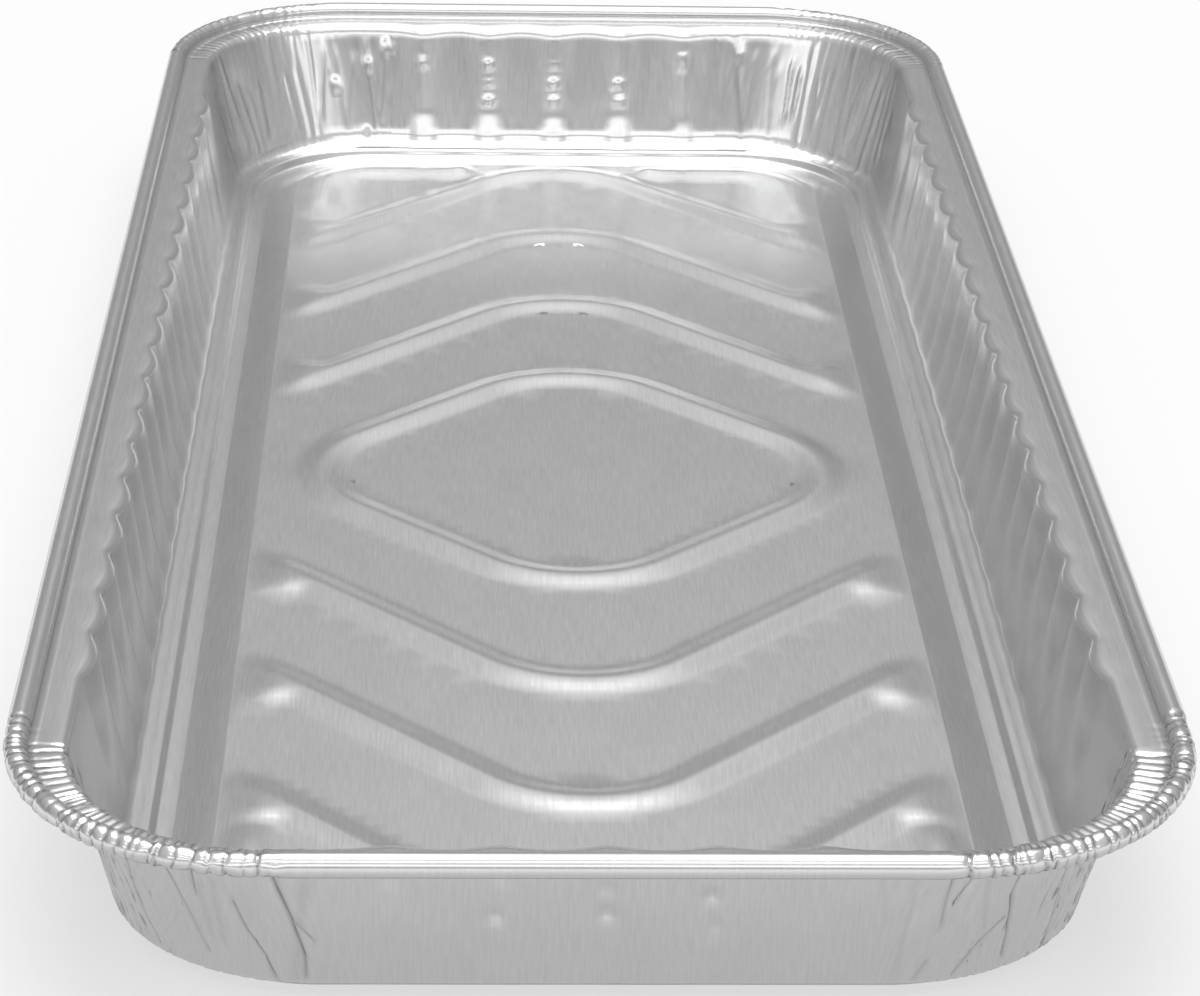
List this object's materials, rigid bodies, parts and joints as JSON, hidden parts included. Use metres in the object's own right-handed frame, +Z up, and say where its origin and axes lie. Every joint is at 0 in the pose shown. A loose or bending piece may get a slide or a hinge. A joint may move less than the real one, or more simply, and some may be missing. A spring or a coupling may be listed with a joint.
{
  "type": "foil oblong cake pan",
  "caption": "Shallow oblong baking pan pressed from aluminium foil, with a curled rim, fluted walls and a beaded floor.",
  "frame": {"origin": "Under the middle of the pan, in the plane that its foot channel stands on.", "axes": "+Y along the pan's length, +X across its width, +Z up out of its mouth."},
  "size_m": [0.15, 0.345, 0.0276],
  "materials": {
    "foil": "satin"
  },
  "bodies": {
    "root": {"pan": "foil"}
  },
  "joints": []
}
